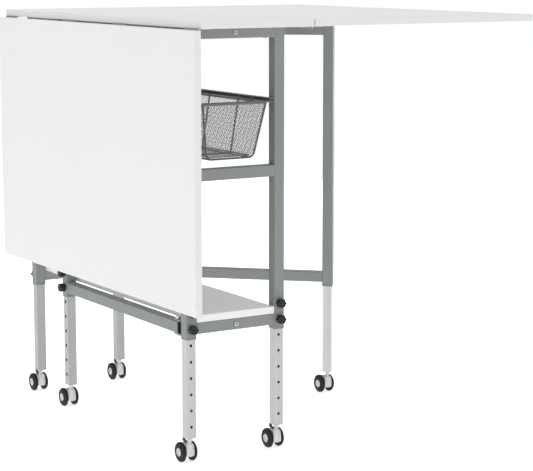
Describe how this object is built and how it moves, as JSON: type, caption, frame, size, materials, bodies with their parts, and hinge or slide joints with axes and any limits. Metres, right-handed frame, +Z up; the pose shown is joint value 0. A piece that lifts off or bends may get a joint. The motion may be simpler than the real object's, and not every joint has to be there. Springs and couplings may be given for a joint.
{
  "type": "folding sewing cutting table",
  "caption": "Folding cutting table: narrow top with drop leaves on a square-tube frame, swing-out gate legs, telescoping legs on locking casters, bottom shelf and sliding mesh basket.",
  "frame": {"origin": "on the floor under the middle of the bounding box", "axes": "+X across the table towards the raised leaf, +Y along it away from the drawer end, +Z up"},
  "size_m": [0.8802, 0.976, 0.947],
  "materials": {
    "white_board": "white melamine-faced board with white edge band",
    "grey_tube": "grey powder coat",
    "silver_tube": "satin silver paint",
    "zinc_hardware": "zinc plate",
    "hinge_plate": "dull grey zinc plate",
    "black_plastic": "moulded black plastic",
    "grey_plastic": "moulded grey plastic",
    "caster_silver": "silver lacquer",
    "caster_tyre": "dark rubber tread with grey hub cap",
    "basket_wire": "dark grey coated wire"
  },
  "bodies": {
    "frame": {"table_top": "white_board", "bottom_shelf": "white_board", "front_end_frame": "grey_tube", "rear_end_frame": "grey_tube", "upper_stretcher": "grey_tube", "lower_stretcher": "grey_tube", "frame_bolts": "zinc_hardware", "board_screws": "zinc_hardware", "post_bushings": "grey_plastic", "drawer_runners": "grey_tube", "runner_screws": "zinc_hardware", "hinge_plates": "hinge_plate", "hinge_pins": "zinc_hardware", "hinge_screws": "zinc_hardware", "gate_brackets": "grey_tube", "gate_pivot_bolts": "zinc_hardware"},
    "left_leaf": {"left_leaf": "white_board", "left_leaf_hinge_plates": "hinge_plate", "left_leaf_screws": "zinc_hardware"},
    "right_leaf": {"right_leaf": "white_board", "right_leaf_hinge_plates": "hinge_plate", "right_leaf_screws": "zinc_hardware"},
    "left_gate": {"left_gate_frame": "grey_tube", "left_gate_plugs": "black_plastic", "left_gate_glide": "black_plastic", "left_gate_bushing": "grey_plastic"},
    "right_gate": {"right_gate_frame": "grey_tube", "right_gate_plugs": "black_plastic", "right_gate_glide": "black_plastic", "right_gate_bushing": "grey_plastic"},
    "drawer": {"basket_frame": "basket_wire", "basket_mesh": "basket_wire"},
    "front_left_leg": {"front_left_leg": "silver_tube"},
    "front_left_knobs": {"front_left_knobs": "black_plastic"},
    "front_left_caster": {"front_left_caster_housing": "caster_silver"},
    "front_left_wheels": {"front_left_caster_wheels": "caster_tyre"},
    "front_left_brake": {"front_left_brake_lever": "black_plastic"},
    "front_right_leg": {"front_right_leg": "silver_tube"},
    "front_right_knobs": {"front_right_knobs": "black_plastic"},
    "front_right_caster": {"front_right_caster_housing": "caster_silver"},
    "front_right_wheels": {"front_right_caster_wheels": "caster_tyre"},
    "front_right_brake": {"front_right_brake_lever": "black_plastic"},
    "rear_left_leg": {"rear_left_leg": "silver_tube"},
    "rear_left_knobs": {"rear_left_knobs": "black_plastic"},
    "rear_left_caster": {"rear_left_caster_housing": "caster_silver"},
    "rear_left_wheels": {"rear_left_caster_wheels": "caster_tyre"},
    "rear_left_brake": {"rear_left_brake_lever": "black_plastic"},
    "rear_right_leg": {"rear_right_leg": "silver_tube"},
    "rear_right_knobs": {"rear_right_knobs": "black_plastic"},
    "rear_right_caster": {"rear_right_caster_housing": "caster_silver"},
    "rear_right_wheels": {"rear_right_caster_wheels": "caster_tyre"},
    "rear_right_brake": {"rear_right_brake_lever": "black_plastic"},
    "left_gate_leg": {"left_gate_leg": "silver_tube"},
    "left_gate_knobs": {"left_gate_knobs": "black_plastic"},
    "left_gate_caster": {"left_gate_caster_housing": "caster_silver"},
    "left_gate_wheels": {"left_gate_caster_wheels": "caster_tyre"},
    "right_gate_leg": {"right_gate_leg": "silver_tube"},
    "right_gate_knobs": {"right_gate_knobs": "black_plastic"},
    "right_gate_caster": {"right_gate_caster_housing": "caster_silver"},
    "right_gate_wheels": {"right_gate_caster_wheels": "caster_tyre"}
  },
  "joints": [
    {"name": "left_leaf_fold", "type": "hinge", "parent": "frame", "child": "left_leaf", "pos_m": [-0.42255, 0, 0.9294], "axis": [0, 1, 0], "range_deg": [0, 90]},
    {"name": "right_leaf_fold", "type": "hinge", "parent": "frame", "child": "right_leaf", "pos_m": [-0.14975, 0, 0.9294], "axis": [0, -1, 0], "range_deg": [0, 5]},
    {"name": "left_gate_swing", "type": "hinge", "parent": "frame", "child": "left_gate", "pos_m": [-0.39965, -0.341, 0.6], "axis": [0, 0, 1], "range_deg": [0, 1]},
    {"name": "right_gate_swing", "type": "hinge", "parent": "frame", "child": "right_gate", "pos_m": [-0.17265, 0.341, 0.6], "axis": [0, 0, 1], "range_deg": [-46.7, 0]},
    {"name": "drawer_slide", "type": "slide", "parent": "frame", "child": "drawer", "axis": [0, -1, 0], "range_m": [0, 0.3]},
    {"name": "front_left_leg_slide", "type": "slide", "parent": "frame", "child": "front_left_leg", "axis": [0, 0, 1], "range_m": [0, 0.2136]},
    {"name": "front_left_knobs_out", "type": "slide", "parent": "frame", "child": "front_left_knobs", "axis": [0, -1, 0], "range_m": [0, 0.008]},
    {"name": "front_left_caster_swivel", "type": "hinge", "parent": "front_left_leg", "child": "front_left_caster", "pos_m": [-0.39615, -0.379, 0.045], "axis": [0, 0, 1], "continuous": true},
    {"name": "front_left_wheel_spin", "type": "hinge", "parent": "front_left_caster", "child": "front_left_wheels", "pos_m": [-0.39615, -0.364, 0.0218], "axis": [1, 0, 0], "continuous": true},
    {"name": "front_left_brake_press", "type": "hinge", "parent": "front_left_caster", "child": "front_left_brake", "pos_m": [-0.39615, -0.36, 0.0328], "axis": [-1, 0, 0], "range_deg": [0, 12]},
    {"name": "front_right_leg_slide", "type": "slide", "parent": "frame", "child": "front_right_leg", "axis": [0, 0, 1], "range_m": [0, 0.2136]},
    {"name": "front_right_knobs_out", "type": "slide", "parent": "frame", "child": "front_right_knobs", "axis": [0, -1, 0], "range_m": [0, 0.008]},
    {"name": "front_right_caster_swivel", "type": "hinge", "parent": "front_right_leg", "child": "front_right_caster", "pos_m": [-0.17615, -0.379, 0.045], "axis": [0, 0, 1], "continuous": true},
    {"name": "front_right_wheel_spin", "type": "hinge", "parent": "front_right_caster", "child": "front_right_wheels", "pos_m": [-0.17615, -0.364, 0.0218], "axis": [1, 0, 0], "continuous": true},
    {"name": "front_right_brake_press", "type": "hinge", "parent": "front_right_caster", "child": "front_right_brake", "pos_m": [-0.17615, -0.36, 0.0328], "axis": [-1, 0, 0], "range_deg": [0, 12]},
    {"name": "rear_left_leg_slide", "type": "slide", "parent": "frame", "child": "rear_left_leg", "axis": [0, 0, 1], "range_m": [0, 0.2136]},
    {"name": "rear_left_knobs_out", "type": "slide", "parent": "frame", "child": "rear_left_knobs", "axis": [0, 1, 0], "range_m": [0, 0.008]},
    {"name": "rear_left_caster_swivel", "type": "hinge", "parent": "rear_left_leg", "child": "rear_left_caster", "pos_m": [-0.39615, 0.379, 0.045], "axis": [0, 0, 1], "continuous": true},
    {"name": "rear_left_wheel_spin", "type": "hinge", "parent": "rear_left_caster", "child": "rear_left_wheels", "pos_m": [-0.39615, 0.394, 0.0218], "axis": [1, 0, 0], "continuous": true},
    {"name": "rear_left_brake_press", "type": "hinge", "parent": "rear_left_caster", "child": "rear_left_brake", "pos_m": [-0.39615, 0.398, 0.0328], "axis": [-1, 0, 0], "range_deg": [0, 12]},
    {"name": "rear_right_leg_slide", "type": "slide", "parent": "frame", "child": "rear_right_leg", "axis": [0, 0, 1], "range_m": [0, 0.2136]},
    {"name": "rear_right_knobs_out", "type": "slide", "parent": "frame", "child": "rear_right_knobs", "axis": [0, 1, 0], "range_m": [0, 0.008]},
    {"name": "rear_right_caster_swivel", "type": "hinge", "parent": "rear_right_leg", "child": "rear_right_caster", "pos_m": [-0.17615, 0.379, 0.045], "axis": [0, 0, 1], "continuous": true},
    {"name": "rear_right_wheel_spin", "type": "hinge", "parent": "rear_right_caster", "child": "rear_right_wheels", "pos_m": [-0.17615, 0.394, 0.0218], "axis": [1, 0, 0], "continuous": true},
    {"name": "rear_right_brake_press", "type": "hinge", "parent": "rear_right_caster", "child": "rear_right_brake", "pos_m": [-0.17615, 0.398, 0.0328], "axis": [-1, 0, 0], "range_deg": [0, 12]},
    {"name": "left_gate_leg_slide", "type": "slide", "parent": "left_gate", "child": "left_gate_leg", "axis": [0, 0, 1], "range_m": [0, 0.2136]},
    {"name": "left_gate_knobs_out", "type": "slide", "parent": "left_gate", "child": "left_gate_knobs", "axis": [-1, 0, 0], "range_m": [0, 0.008]},
    {"name": "left_gate_caster_swivel", "type": "hinge", "parent": "left_gate_leg", "child": "left_gate_caster", "pos_m": [-0.39965, 0.197, 0.045], "axis": [0, 0, 1], "continuous": true},
    {"name": "left_gate_wheel_spin", "type": "hinge", "parent": "left_gate_caster", "child": "left_gate_wheels", "pos_m": [-0.39965, 0.212, 0.0218], "axis": [1, 0, 0], "continuous": true},
    {"name": "right_gate_leg_slide", "type": "slide", "parent": "right_gate", "child": "right_gate_leg", "axis": [0, 0, 1], "range_m": [0, 0.2136]},
    {"name": "right_gate_knobs_out", "type": "slide", "parent": "right_gate", "child": "right_gate_knobs", "axis": [0.6858, 0.7278, 0], "range_m": [0, 0.008]},
    {"name": "right_gate_caster_swivel", "type": "hinge", "parent": "right_gate_leg", "child": "right_gate_caster", "pos_m": [0.20361, -0.01357, 0.045], "axis": [0, 0, 1], "continuous": true},
    {"name": "right_gate_wheel_spin", "type": "hinge", "parent": "right_gate_caster", "child": "right_gate_wheels", "pos_m": [0.20361, 0.00143, 0.0218], "axis": [1, 0, 0], "continuous": true}
  ]
}
